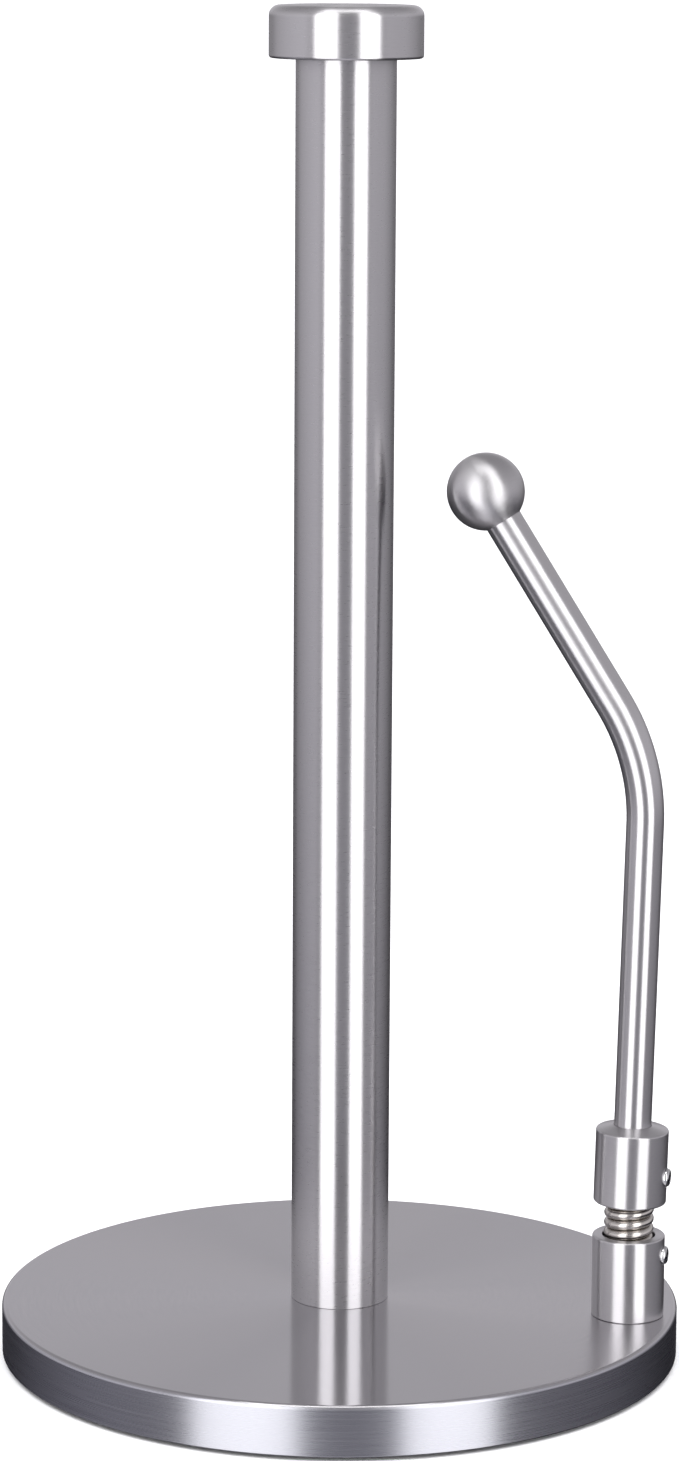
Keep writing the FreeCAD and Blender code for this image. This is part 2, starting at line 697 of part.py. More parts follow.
bind(stud_hole, {"Radius": "ball_stud_diameter / 2 + fit_gap", "Height": HOLE_DEPTH})
lean_inwards(
    stud_hole,
    BEND_ANGLE,
    f"-{HOLE_FLOOR} * sin({BEND_ANGLE})",
    f"bend_rise + {HOLE_FLOOR} * cos({BEND_ANGLE})",
)
on_arm(arm_rod)


# Ball and its stud, in a frame at the ball's centre whose Z runs on along the rod


def on_rod_end(piece, along="0"):
    """Puts a piece at a distance along the rod's upper run from the ball's centre."""
    lean_inwards(
        piece,
        TOP_ANGLE,
        f"{BALL_X} - {along} * sin({TOP_ANGLE})",
        f"ball_height + {along} * cos({TOP_ANGLE})",
    )


ball_blank = primitive(
    "Part::Sphere",
    "ball_blank",
    {"Radius": "ball_diameter / 2", "Angle1": f"-atan({BALL_FLAT} / {ROD_RADIUS})"},
)
ball_hole = primitive(
    "Part::Cylinder",
    "ball_hole",
    {
        "Radius": "ball_stud_diameter / 2 + fit_gap",
        "Height": "ball_stud_in_ball + stud_end_gap",
        "Placement.Base.z": f"-{BALL_FLAT}",
    },
)
arm_ball = piece_of("Part::Cut", "arm_ball")
arm_ball.Base = ball_blank
arm_ball.Tool = ball_hole
on_rod_end(arm_ball)

ball_stud = piece_of("Part::Cylinder", "ball_stud")
bind(ball_stud, {"Radius": "ball_stud_diameter / 2", "Height": "ball_stud_in_ball + ball_stud_in_rod"})
on_rod_end(ball_stud, f"(0 - {BALL_FLAT} - ball_stud_in_rod)")


# Check every object and write one file for each piece

doc.recompute()
faults = [item.Name for item in doc.Objects if {"Invalid", "Error"} & set(item.State)]
faults += [piece.Label for piece in pieces if piece.Shape.isNull() or not piece.Shape.isValid()]
faults += [piece.Label for piece in pieces if len(piece.Shape.Solids) != 1]
if faults:
    raise RuntimeError(f"faulty: {faults}")

os.makedirs("parts", exist_ok=True)
for piece in pieces:
    piece.Shape.exportStep(f"parts/{piece.Label}.step")
    print(f"{piece.Label}: {piece.Shape.Volume:.1f} mm3")
print(f"bend {value(BEND_ANGLE):.2f} degrees, {len(pieces)} pieces")
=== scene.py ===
"""A paper towel holder in brushed stainless steel: its looks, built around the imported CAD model."""

from math import acos, atan2, ceil, cos, hypot, pi, radians, sin, sqrt, tan

import bmesh
import bpy
from mathutils import Matrix, Vector


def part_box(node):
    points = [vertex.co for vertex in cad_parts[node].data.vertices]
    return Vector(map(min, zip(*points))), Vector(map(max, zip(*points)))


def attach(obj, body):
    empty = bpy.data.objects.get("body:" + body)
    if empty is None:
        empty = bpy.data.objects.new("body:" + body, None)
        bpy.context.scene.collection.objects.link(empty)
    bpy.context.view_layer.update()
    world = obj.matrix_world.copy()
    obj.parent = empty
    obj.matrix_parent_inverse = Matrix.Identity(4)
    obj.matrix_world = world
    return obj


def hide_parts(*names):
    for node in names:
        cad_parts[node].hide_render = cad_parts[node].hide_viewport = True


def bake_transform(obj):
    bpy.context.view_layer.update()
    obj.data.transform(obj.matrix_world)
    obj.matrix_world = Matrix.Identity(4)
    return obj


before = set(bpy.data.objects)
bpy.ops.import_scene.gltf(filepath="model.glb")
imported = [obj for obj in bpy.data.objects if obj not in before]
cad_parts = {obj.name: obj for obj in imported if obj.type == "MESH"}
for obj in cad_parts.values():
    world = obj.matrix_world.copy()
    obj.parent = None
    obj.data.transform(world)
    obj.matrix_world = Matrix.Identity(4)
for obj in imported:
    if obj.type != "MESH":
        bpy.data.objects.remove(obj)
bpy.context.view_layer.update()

MM = 0.001
TURN = 2 * pi
GRAIN_LENGTH = 100  # millimetres of bar to one unit of its grain's map
ROD_GAP = 0.05  # millimetres round the rod in the upper collar and the ball
RIM_SLOPE = 0.6  # the base's faces that point up or down less than this get the rim's steel: its own brushing, and a darker, bluer colour that is painted shade
NEAR, ALIKE = 0.03, 0.98  # millimetres from an outline, and agreement with its normal, to take it as turned

# Sizes that the nodes' boxes don't give, in millimetres
BASE_WALL, BASE_EDGE, SKIRT_EDGE, SKIN_HOLE = 0.8, 1.2, 0.35, 3.3
POST_WALL, POST_EDGE = 1.2, 0.15
CAP_WALL, CAP_TOP_EDGE, CAP_FOOT_EDGE = 1.2, 2.6, 0.7
TAP_RADIUS, TAP_DEPTH = 2.55, 8.5
COLLAR_EDGE, FOOT_EDGE, MOUTH_EDGE = 0.5, 0.3, 0.3
UPPER_COLLAR_HEIGHT, CONE_RISE = 19.0, 1.2
SPRING_GAP, SPRING_DEPTH, BORE_RADIUS, BORE_DEPTH = 8.7, 10.0, 6.75, 10.5
CORE_RADIUS, CORE_SETBACK = 3.45, 1.0
WIRE_RADIUS, COIL_PITCH = 1.25, 2.6
SCREW_AZIMUTH, SCREW_RADIUS, SCREW_OUT, SCREW_ROUND = -5.0, 2.35, 0.95, 0.9
SEAT_RADIUS, SOCKET_FLATS, SOCKET_DEPTH = 2.65, 2.0, 0.9
LOWER_SCREW_DROP, UPPER_SCREW_RISE = 4.9, 7.1
ROD_RADIUS, BEND_RISE, BEND_RADIUS, ARM_LEAN = 4.75, 119.0, 55.0, 1.3


def middle(node):
    low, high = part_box(node)
    return (low + high) / 2 / MM


def top(node, axis=2):
    """A node's highest value along an axis, in millimetres."""
    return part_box(node)[1][axis] / MM


def foot(node):
    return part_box(node)[0].z / MM


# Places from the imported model, in millimetres
BASE_RADIUS, POST_RADIUS, CAP_RADIUS = top("base_shell", 0), top("post_tube", 0), top("cap_shell", 0)
COLLAR_RADIUS, COLLAR_TOP = top("lower_collar", 1), top("lower_collar")
ARM_X = middle("lower_collar").x
SPRING_RADIUS = top("coil_spring", 1)
BALL_RADIUS = top("arm_ball", 1)
MOUTH = SPRING_GAP / 2
SPRING_MIDDLE = COLLAR_TOP + MOUTH
BORE_FLOOR = COLLAR_TOP - BORE_DEPTH


def leaning(angle):
    """A frame at the spring's middle, leaning outwards."""
    centre = Matrix.Translation((ARM_X * MM, 0, SPRING_MIDDLE * MM))
    return centre @ Matrix.Rotation(radians(angle), 4, "Y")


ARM = leaning(ARM_LEAN)
SPRING = leaning(ARM_LEAN / 2)
BASE = Matrix.Identity(4)
LOWER_ARM = Matrix.Translation((ARM_X * MM, 0, 0))
BALL = ARM.inverted() @ (middle("arm_ball") * MM) / MM


# Meshes

def rounded(corners, closed=False):
    """Straight and round stretches of an outline given as (radius, height, rounding) corners.

    The solid is on the left of the outline.
    Each stretch is (start, end, normal at start, normal at end)."""
    points = [Vector(corner[:2]) for corner in corners]
    roundings = [corner[2] if len(corner) > 2 else 0 for corner in corners]
    count = len(points)
    ends, arcs = {}, {}
    for i in range(count):
        if not roundings[i]:
            ends[i] = (points[i], points[i])
            arcs[i] = []
            continue
        before = (points[i - 1] - points[i]).normalized()
        after = (points[(i + 1) % count] - points[i]).normalized()
        half = acos(max(-1, min(1, before.dot(after)))) / 2
        reach = roundings[i] / tan(half)
        ends[i] = (points[i] + before * reach, points[i] + after * reach)
        centre = points[i] + (before + after).normalized() * roundings[i] / sin(half)
        turning = pi - 2 * half
        steps = max(4, ceil(turning / radians(9)))
        first, last = ends[i][0] - centre, ends[i][1] - centre
        sign = 1 if first.x * last.y - first.y * last.x > 0 else -1
        start = atan2(first.y, first.x)
        angles = [start + sign * turning * k / steps for k in range(steps + 1)]
        spots = [centre + Vector((cos(a), sin(a))) * roundings[i] for a in angles]
        normals = [Vector((cos(a), sin(a))) * sign for a in angles]
        arcs[i] = list(zip(spots, spots[1:], normals, normals[1:]))
    stretches = []
    for i in range(count if closed else count - 1):
        start, end = ends[i][1], ends[(i + 1) % count][0]
        stretches += arcs[i]
        if (end - start).length > 1e-6:
            along = (end - start).normalized()
            normal = Vector((along.y, -along.x))
            stretches.append((start, end, normal, normal))
    return stretches


def sphere_arc(radius, low, high, steps):
    """A round stretch about the origin, from one latitude to another."""
    angles = [low + (high - low) * k / steps for k in range(steps + 1)]
    normals = [Vector((cos(a), sin(a))) for a in angles]
    normals[-1] = Vector((0, 1)) if abs(high - pi / 2) < 1e-6 else normals[-1]
    spots = [normal * radius for normal in normals]
    return list(zip(spots, spots[1:], normals, normals[1:]))


def placed(name, data, place):
    """An object in the scene, standing where the frame says."""
    thing = bpy.data.objects.new(name, data)
    bpy.context.scene.collection.objects.link(thing)
    thing.matrix_world = place
    return thing


def finished(name, mesh, normals, place, material):
    """A smooth piece with exact normals."""
    mesh.polygons.foreach_set("use_smooth", [True] * len(mesh.polygons))
    mesh.normals_split_custom_set(normals)
    mesh.materials.append(material)
    return placed(name, mesh, place)


def creased(name, grid, angle, place, material):
    """A smooth piece from a bmesh, with creases sharper than an angle in degrees."""
    mesh = bpy.data.meshes.new(name)
    grid.to_mesh(mesh)
    grid.free()
    mesh.materials.append(material)
    mesh.polygons.foreach_set("use_smooth", [True] * len(mesh.polygons))
    mesh.set_sharp_from_angle(angle=radians(angle))
    return placed(name, mesh, place)


def turned(name, stretches, place, material, steps=128):
    """A piece turned about its own Z axis from an outline in millimetres."""
    vertices, rings, faces, normals = [], {}, [], []

    def ring(spot):
        key = (round(spot.x, 6), round(spot.y, 6))
        if key not in rings:
            around = 1 if key[0] == 0 else steps
            rings[key] = [len(vertices) + k for k in range(around)]
            for k in range(around):
                angle = TURN * k / steps
                vertices.append((spot.x * cos(angle) * MM, spot.x * sin(angle) * MM, spot.y * MM))
        return rings[key]

    for start, end, normal_start, normal_end in stretches:
        low, high = ring(start), ring(end)
        if len(low) == len(high) == 1:
            continue
        for k in range(steps):
            after = (k + 1) % steps
            corners = []
            if len(low) > 1:
                corners += [(low[k], k, normal_start), (low[after], k + 1, normal_start)]
            else:
                corners += [(low[0], k + 0.5, normal_start)]
            if len(high) > 1:
                corners += [(high[after], k + 1, normal_end), (high[k], k, normal_end)]
            else:
                corners += [(high[0], k + 0.5, normal_end)]
            faces.append([corner[0] for corner in corners])
            for _, step, normal in corners:
                angle = TURN * step / steps
                normals.append((normal.x * cos(angle), normal.x * sin(angle), normal.y))
    mesh = bpy.data.meshes.new(name)
    mesh.from_pydata(vertices, [], faces)
    return finished(name, mesh, normals, place, material)


def swept(name, route, place, material, steps=48):
    """A round bar along a route of (centre, direction, side, radius).

    Its grain's map goes round and along it."""
    grid = bmesh.new()
    grain = grid.loops.layers.uv.new("grain")
    rings, lengths = [], [0.0]
    for i, (centre, direction, side, radius) in enumerate(route):
        if i:
            step = (centre - route[i - 1][0]).length + abs(radius - route[i - 1][3])
            lengths.append(lengths[-1] + step)
        other = direction.cross(side)
        outwards = [side * cos(TURN * k / steps) + other * sin(TURN * k / steps) for k in range(steps)]
        rings.append([grid.verts.new((centre + out * radius) * MM) for out in outwards])
    for i in range(len(rings) - 1):
        for k in range(steps):
            after = (k + 1) % steps
            face = grid.faces.new([rings[i][k], rings[i][after], rings[i + 1][after], rings[i + 1][k]])
            spots = [(k, i), (k + 1, i), (k + 1, i + 1), (k, i + 1)]
            for loop, (turn, row) in zip(face.loops, spots):
                loop[grain].uv = (turn / steps, lengths[row] / GRAIN_LENGTH)
    for ring, flipped in ((rings[0], True), (rings[-1], False)):
        grid.faces.new(ring[::-1] if flipped else ring)
    return creased(name, grid, 40, place, material)


def stands_for(piece, node, body):
    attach(piece, body)
    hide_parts(node)
    return piece


# Materials

class Nodes:
    """A short way to write a material's nodes."""

    def __init__(self, name):
        self.material = bpy.data.materials.new(name)
        self.material.use_nodes = True
        self.tree = self.material.node_tree
        self.shader = self.tree.nodes["Principled BSDF"]

    def add(self, kind, inputs=None, **settings):
        node = self.tree.nodes.new(kind)
        for key, value in settings.items():
            setattr(node, key, value)
        for socket, value in (inputs or {}).items():
            if isinstance(value, bpy.types.NodeSocket):
                self.tree.links.new(value, node.inputs[socket])
            else:
                node.inputs[socket].default_value = value
        return node

    def math(self, operation, first, second=0.0):
        return self.add("ShaderNodeMath", {0: first, 1: second}, operation=operation).outputs[0]

    def between(self, value, low, high):
        """Stretches a 0 to 1 value to low to high."""
        return self.add("ShaderNodeMapRange", {"Value": value, "To Min": low, "To Max": high}).outputs[0]

    def noise(self, vector, scale, detail=2.0):
        inputs = {"Vector": vector, "Scale": scale, "Detail": detail}
        return self.add("ShaderNodeTexNoise", inputs).outputs["Fac"]

    def colour(self, value, low, high):
        """A colour between two, by a 0 to 1 value."""
        mix = self.add("ShaderNodeMix", data_type="RGBA")
        self.tree.links.new(value, mix.inputs["Factor"])
        for socket, shade in ((mix.inputs[6], low), (mix.inputs[7], high)):
            socket.default_value = (*shade, 1)
        return mix.outputs[2]

    def bump(self, height, strength, distance):
        inputs = {"Height": height, "Strength": strength, "Distance": distance}
        return self.add("ShaderNodeBump", inputs).outputs["Normal"]

    def drive(self, **sockets):
        for socket, value in sockets.items():
            self.tree.links.new(value, self.shader.inputs[socket.replace("_", " ")])

    def fix(self, **sockets):
        for socket, value in sockets.items():
            self.shader.inputs[socket.replace("_", " ")].default_value = value


def grain_round_axis(nodes, long, fine):
    """Streaks round the piece's own Z axis, long round it and fine across it.

    Gives the way each point faces, and the place to read the streaks at."""
    place = nodes.add("ShaderNodeTexCoord").outputs["Object"]
    apart = nodes.add("ShaderNodeSeparateXYZ", {0: place})
    flat = nodes.add("ShaderNodeCombineXYZ", {0: apart.outputs[0], 1: apart.outputs[1]}).outputs[0]
    radius = nodes.add("ShaderNodeVectorMath", {0: flat}, operation="LENGTH").outputs["Value"]
    facing = nodes.add("ShaderNodeVectorMath", {0: flat}, operation="NORMALIZE").outputs[0]
    across = nodes.math("MULTIPLY", nodes.math("SUBTRACT", apart.outputs[2], radius), 1 / (fine * MM))
    around = nodes.add("ShaderNodeVectorMath", {0: facing, "Scale": long}, operation="SCALE").outputs[0]
    up = nodes.add("ShaderNodeCombineXYZ", {2: across}).outputs[0]
    return facing, nodes.add("ShaderNodeVectorMath", {0: around, 1: up}, operation="ADD").outputs[0]


def grain_round_bar(nodes, long, fine):
    """The same streaks on a bent bar, from its map."""
    spot = nodes.add("ShaderNodeUVMap", uv_map="grain").outputs[0]
    apart = nodes.add("ShaderNodeSeparateXYZ", {0: spot})
    angle = nodes.math("MULTIPLY", apart.outputs[0], TURN)
    round_bar = (nodes.math("COSINE", angle), nodes.math("SINE", angle))
    facing = nodes.add("ShaderNodeCombineXYZ", dict(enumerate(round_bar))).outputs[0]
    around = nodes.add("ShaderNodeVectorMath", {0: facing, "Scale": long}, operation="SCALE").outputs[0]
    across = nodes.math("MULTIPLY", apart.outputs[1], GRAIN_LENGTH / fine)
    up = nodes.add("ShaderNodeCombineXYZ", {2: across}).outputs[0]
    return facing, nodes.add("ShaderNodeVectorMath", {0: around, 1: up}, operation="ADD").outputs[0]


def brushed_steel(name, roughness=0.29, spread=0.9, long=5.0, fine=0.3, bar=False, depth=0.05,
                  dark=(0.50, 0.49, 0.50), light=(0.66, 0.65, 0.665)):
    """Stainless steel brushed round the piece: light spreads across the streaks."""
    nodes = Nodes(name)
    facing, streaks = (grain_round_bar if bar else grain_round_axis)(nodes, long, fine)
    place = nodes.add("ShaderNodeTexCoord").outputs["Object"]
    lines = nodes.noise(streaks, 1.0, 3.0)
    wedges = nodes.noise(facing, 1.6, 1.0)
    speckle = nodes.noise(place, 1 / (0.6 * MM), 1.0)
    blend = nodes.math("ADD", nodes.math("MULTIPLY", lines, 0.5), nodes.math("MULTIPLY", wedges, 0.5))
    height = nodes.math("ADD", lines, nodes.math("MULTIPLY", speckle, 0.3))
    nodes.drive(
        Base_Color=nodes.colour(blend, dark, light),
        Roughness=nodes.between(lines, roughness - 0.05, roughness + 0.05),
        Normal=nodes.bump(height, depth, 0.02 * MM),
    )
    if bar:
        tangent = nodes.add("ShaderNodeTangent", direction_type="UV_MAP", uv_map="grain")
    else:
        tangent = nodes.add("ShaderNodeTangent", direction_type="RADIAL", axis="Z")
    nodes.tree.links.new(tangent.outputs[0], nodes.shader.inputs["Tangent"])
    nodes.fix(Metallic=1.0, Anisotropic=spread, Anisotropic_Rotation=0.25)
    return nodes.material


def plain_metal(name, dark, light, roughness, scale, depth):
    """Metal with no direction to its finish: drawn wire, plating, turned or polished stock."""
    nodes = Nodes(name)
    place = nodes.add("ShaderNodeTexCoord").outputs["Object"]
    patches = nodes.noise(place, scale, 4.0)
    fine = nodes.noise(place, scale * 9, 2.0)
    nodes.drive(
        Base_Color=nodes.colour(patches, dark, light),
        Roughness=nodes.between(patches, roughness * 0.75, roughness * 1.3),
        Normal=nodes.bump(fine, depth, 0.02 * MM),
    )
    nodes.fix(Metallic=1.0)
    return nodes.material


def matt(name, dark, light, roughness, scale, depth):
    """Cast iron under paint, or moulded rubber."""
    nodes = Nodes(name)
    place = nodes.add("ShaderNodeTexCoord").outputs["Object"]
    grains = nodes.noise(place, scale, 5.0)
    nodes.drive(
        Base_Color=nodes.colour(grains, dark, light),
        Roughness=nodes.between(grains, roughness - 0.1, roughness + 0.1),
        Normal=nodes.bump(grains, depth, 0.3 * MM),
    )
    return nodes.material


POST_STEEL = brushed_steel("post_steel")
CAP_STEEL = brushed_steel("cap_steel")
BASE_STEEL = brushed_steel("base_steel", roughness=0.17, spread=0.95, long=9.0, fine=0.45,
                           dark=(0.47, 0.47, 0.50), light=(0.61, 0.59, 0.60))
# The rim's steel has its own brushing, and a darker, bluer copy of the base's colour: painted shade on the
# base's side
SHADED_RIM_STEEL = brushed_steel("shaded_rim_steel", roughness=0.28, spread=0.45, long=3.0, fine=0.25, depth=0.012,
                          dark=(0.395, 0.395, 0.43), light=(0.52, 0.52, 0.56))
COLLAR_STEEL = brushed_steel("collar_steel", roughness=0.31, spread=0.85, fine=0.2)
ROD_STEEL = brushed_steel("rod_steel", roughness=0.31, spread=0.85, fine=0.25, bar=True)
BALL_STEEL = brushed_steel("ball_steel", roughness=0.36, spread=0.88, fine=0.25)
SPRING_STEEL = plain_metal("wire_steel", (0.50, 0.47, 0.44), (0.68, 0.65, 0.62), 0.22, 260.0, 0.06)
SCREW_STEEL = plain_metal("screw_steel", (0.52, 0.52, 0.53), (0.72, 0.72, 0.73), 0.14, 400.0, 0.03)
ZINC = plain_metal("zinc_plate", (0.46, 0.47, 0.50), (0.68, 0.69, 0.70), 0.32, 300.0, 0.10)
ALUMINIUM = plain_metal("turned_aluminium", (0.62, 0.62, 0.63), (0.78, 0.78, 0.79), 0.36, 250.0, 0.10)
CAST_IRON = matt("cast_iron", (0.020, 0.020, 0.022), (0.055, 0.054, 0.055), 0.7, 700.0, 0.5)
RUBBER = matt("black_rubber", (0.012, 0.012, 0.013), (0.030, 0.030, 0.031), 0.75, 1500.0, 0.3)


# Base

base = turned("base_skin", rounded([
    (BASE_RADIUS, foot("base_shell"), SKIRT_EDGE),
    (BASE_RADIUS, top("base_shell"), BASE_EDGE),
    (SKIN_HOLE, top("base_shell")),
    (SKIN_HOLE, top("base_shell") - BASE_WALL),
    (BASE_RADIUS - BASE_WALL, top("base_shell") - BASE_WALL, BASE_EDGE - BASE_WALL),
    (BASE_RADIUS - BASE_WALL, foot("base_shell"), SKIRT_EDGE),
], closed=True), BASE, BASE_STEEL, steps=384)
# The base's side faces get the rim's steel, with its painted shade
base.data.materials.append(SHADED_RIM_STEEL)
for face in base.data.polygons:
    face.material_index = int(abs(face.normal.z) < RIM_SLOPE)
stands_for(base, "base_shell", "base")


# Post and cap

post = turned("post", rounded([
    (POST_RADIUS, foot("post_tube"), POST_EDGE),
    (POST_RADIUS, top("post_tube")),
    (POST_RADIUS - POST_WALL, top("post_tube")),
    (POST_RADIUS - POST_WALL, foot("post_tube")),
], closed=True), BASE, POST_STEEL, steps=192)
stands_for(post, "post_tube", "base")

cap = turned("cap", rounded([
    (CAP_RADIUS, foot("cap_shell"), CAP_FOOT_EDGE),
    (CAP_RADIUS, top("cap_shell"), CAP_TOP_EDGE),
    (0, top("cap_shell")),
    (0, top("cap_shell") - CAP_WALL),
    (CAP_RADIUS - CAP_WALL, top("cap_shell") - CAP_WALL, CAP_TOP_EDGE - CAP_WALL),
    (CAP_RADIUS - CAP_WALL, foot("cap_shell"), CAP_FOOT_EDGE / 3),
], closed=True), BASE, CAP_STEEL, steps=256)
stands_for(cap, "cap_shell", "base")


# Collars, each with a flat seat cut for its screw's head

def screw_frame(place, height):
    """A frame on the collar's axis whose Z points out through its screw, in the collar's own frame."""
    outwards = Matrix.Rotation(radians(SCREW_AZIMUTH), 4, "Z") @ Matrix.Rotation(pi / 2, 4, "Y")
    return place @ Matrix.Translation((0, 0, height * MM)) @ outwards


def shade_as_turned(mesh, stretches):
    """Exact normals for what is left of a turned piece's faces, and flat ones for the cut's."""
    normals = []
    for face in mesh.polygons:
        spot = Vector((hypot(face.center.x, face.center.y), face.center.z)) / MM
        around = Vector((face.center.x, face.center.y, 0)).normalized()
        facing = Vector((face.normal.dot(around), face.normal.z))
        best = None
        for start, end, normal_start, normal_end in stretches:
            along = end - start
            share = max(0, min(1, (spot - start).dot(along) / along.length_squared))
            away = (spot - start - along * share).length
            alike = facing.dot((normal_start + normal_end).normalized())
            if away < NEAR and alike > ALIKE and (best is None or away < best[0]):
                best = (away, start, along, normal_start, normal_end)
        for vertex in (mesh.vertices[i].co for i in face.vertices):
            if best is None:
                normals.append(tuple(face.normal))
                continue
            _, start, along, normal_start, normal_end = best
            radius = hypot(vertex.x, vertex.y)
            share = (Vector((radius, vertex.z)) / MM - start).dot(along) / along.length_squared
            normal = normal_start.lerp(normal_end, max(0, min(1, share))).normalized()
            out = Vector((vertex.x, vertex.y)).normalized() if radius > 1e-9 else around.xy
            normals.append((normal.x * out.x, normal.x * out.y, normal.y))
    return normals


def collar_with_seat(name, stretches, place, height, node, body):
    """A turned collar with the flat that its screw's head sits on."""
    whole = turned(name, stretches, Matrix.Identity(4), COLLAR_STEEL, steps=192)
    depth = sqrt(COLLAR_RADIUS ** 2 - SEAT_RADIUS ** 2)
    far = COLLAR_RADIUS + 4
    cutter = turned("cutter", rounded([(0, depth), (SEAT_RADIUS, depth), (SEAT_RADIUS, far), (0, far)]),
                    screw_frame(Matrix.Identity(4), height), COLLAR_STEEL, steps=64)
    cut = whole.modifiers.new("seat", "BOOLEAN")
    cut.object = cutter
    cut.solver = "EXACT"
    bpy.context.view_layer.update()
    shown = whole.evaluated_get(bpy.context.evaluated_depsgraph_get())
    mesh = bpy.data.meshes.new_from_object(shown)
    for spare in (cutter, whole):
        bpy.data.objects.remove(spare)
    mesh.name = name
    mesh.materials.clear()
    piece = finished(name, mesh, shade_as_turned(mesh, stretches), place, COLLAR_STEEL)
    return stands_for(piece, node, body)


LOWER_SCREW_Z = COLLAR_TOP - LOWER_SCREW_DROP
UPPER_SCREW_Z = MOUTH + UPPER_SCREW_RISE
COLLAR_FOOT = foot("lower_collar")
collar_with_seat("spring_collar", rounded([
    (0, COLLAR_FOOT + TAP_DEPTH),
    (TAP_RADIUS, COLLAR_FOOT + TAP_DEPTH),
    (TAP_RADIUS, COLLAR_FOOT),
    (COLLAR_RADIUS, COLLAR_FOOT, FOOT_EDGE),
    (COLLAR_RADIUS, COLLAR_TOP, COLLAR_EDGE),
    (BORE_RADIUS, COLLAR_TOP, MOUTH_EDGE),
    (BORE_RADIUS, BORE_FLOOR),
    (CORE_RADIUS, BORE_FLOOR),
    (CORE_RADIUS, COLLAR_TOP - CORE_SETBACK),
    (0, COLLAR_TOP - CORE_SETBACK),
]), LOWER_ARM, LOWER_SCREW_Z, "lower_collar", "base")

COLLAR_RIM = MOUTH + UPPER_COLLAR_HEIGHT
collar_with_seat("arm_collar", rounded([
    (BORE_RADIUS, MOUTH, MOUTH_EDGE),
    (COLLAR_RADIUS, MOUTH, COLLAR_EDGE),
    (COLLAR_RADIUS, COLLAR_RIM, COLLAR_EDGE),
    (ROD_RADIUS + ROD_GAP, COLLAR_RIM + CONE_RISE, 0.15),
    (ROD_RADIUS + ROD_GAP, MOUTH + BORE_DEPTH),
    (BORE_RADIUS, MOUTH + BORE_DEPTH),
], closed=True), ARM, UPPER_SCREW_Z, "upper_collar", "arm")


# Set screws: domed heads with a hexagon socket

def hexagon(angle):
    """Distance from the middle to a hexagon's side, for one millimetre from flat to middle."""
    return 1 / cos((angle + pi / 6) % (pi / 3) - pi / 6)


def set_screw(name, place, node, body):
    """A domed screw on its own axis, which is Z: a socket's floor, walls and the dome, then the shank."""
    steps, half = 72, SOCKET_FLATS / 2
    seat = sqrt(COLLAR_RADIUS ** 2 - SEAT_RADIUS ** 2)
    face = COLLAR_RADIUS + SCREW_OUT
    corner = SCREW_RADIUS - SCREW_ROUND
    # (radius, height along the screw, whether it has the socket's six sides)
    rings = [(0.0, face - SOCKET_DEPTH, True), (half, face - SOCKET_DEPTH, True), (half, face - 0.08, True)]
    rings += [(half + 0.08, face, True), (half + 0.3, face, False)]
    for k in range(9):
        angle = pi / 2 * (1 - k / 8)
        rings.append((corner + SCREW_ROUND * cos(angle), face - SCREW_ROUND * (1 - sin(angle)), False))
    rings += [(SCREW_RADIUS, seat, False), (0.0, seat, False)]
    grid = bmesh.new()
    rows = []
    for radius, height, six_sided in rings:
        if radius == 0:
            rows.append([grid.verts.new((0, 0, height * MM))])
            continue
        row = []
        for k in range(steps):
            angle = TURN * k / steps
            reach = radius * (hexagon(angle) if six_sided else 1) * MM
            row.append(grid.verts.new((reach * cos(angle), reach * sin(angle), height * MM)))
        rows.append(row)
    for low, high in zip(rows, rows[1:]):
        for k in range(steps):
            after = (k + 1) % steps
            corners = [low[k % len(low)], high[k % len(high)]]
            corners += [high[after % len(high)], low[after % len(low)]]
            grid.faces.new(list(dict.fromkeys(corners)))
    bmesh.ops.recalc_face_normals(grid, faces=grid.faces)
    stands_for(creased(name, grid, 32, place, SCREW_STEEL), node, body)


set_screw("collar_screw", screw_frame(LOWER_ARM, LOWER_SCREW_Z), "lower_set_screw", "base")
set_screw("arm_screw", screw_frame(ARM, UPPER_SCREW_Z), "upper_set_screw", "arm")


# Arm: a bent rod and the ball on its end

def rod_route():
    """The rod's core inside the spring, its straight, its bend and its straight up to the ball."""
    side = Vector((0, 1, 0))
    up = Vector((0, 0, 1))
    corner = up * BEND_RISE
    away = (BALL - corner).normalized()
    angle = acos(up.dot(away))
    reach = BEND_RADIUS * tan(angle / 2)
    centre = corner - up * reach + Vector((-BEND_RADIUS, 0, 0))
    shoulder = MOUTH + BORE_DEPTH + 0.02
    route = [(up * (MOUTH + CORE_SETBACK), up, side, CORE_RADIUS), (up * shoulder, up, side, CORE_RADIUS)]
    route += [(up * (shoulder + 0.01), up, side, ROD_RADIUS)]
    straight = BEND_RISE - reach
    rows = ceil((straight - shoulder) / 4)
    for k in range(1, rows):
        route.append((up * (shoulder + (straight - shoulder) * k / rows), up, side, ROD_RADIUS))
    bends = ceil(angle / radians(1))
    for k in range(bends + 1):
        a = angle * k / bends
        spot = centre + Vector((cos(a), 0, sin(a))) * BEND_RADIUS
        route.append((spot, Vector((-sin(a), 0, cos(a))), side, ROD_RADIUS))
    end = BALL - away * (sqrt(BALL_RADIUS ** 2 - ROD_RADIUS ** 2) - 0.1)
    start = corner + away * reach
    rows = ceil((end - start).length / 4)
    route += [(start.lerp(end, k / rows), away, side, ROD_RADIUS) for k in range(1, rows + 1)]
    return route, away


rod_line, away = rod_route()
rod = swept("arm", rod_line, ARM, ROD_STEEL, steps=96)
stands_for(rod, "arm_rod", "arm")

seat_latitude = -acos((ROD_RADIUS + ROD_GAP) / BALL_RADIUS)
seat_height = BALL_RADIUS * sin(seat_latitude)
ball_outline = rounded([(0, seat_height), (ROD_RADIUS + ROD_GAP, seat_height)])
ball_outline += sphere_arc(BALL_RADIUS, seat_latitude, pi / 2, 72)
ball_place = ARM @ Matrix.Translation(BALL * MM) @ away.to_track_quat("Z", "Y").to_matrix().to_4x4()
ball = turned("ball", ball_outline, ball_place, BALL_STEEL, steps=160)
stands_for(ball, "arm_ball", "arm")
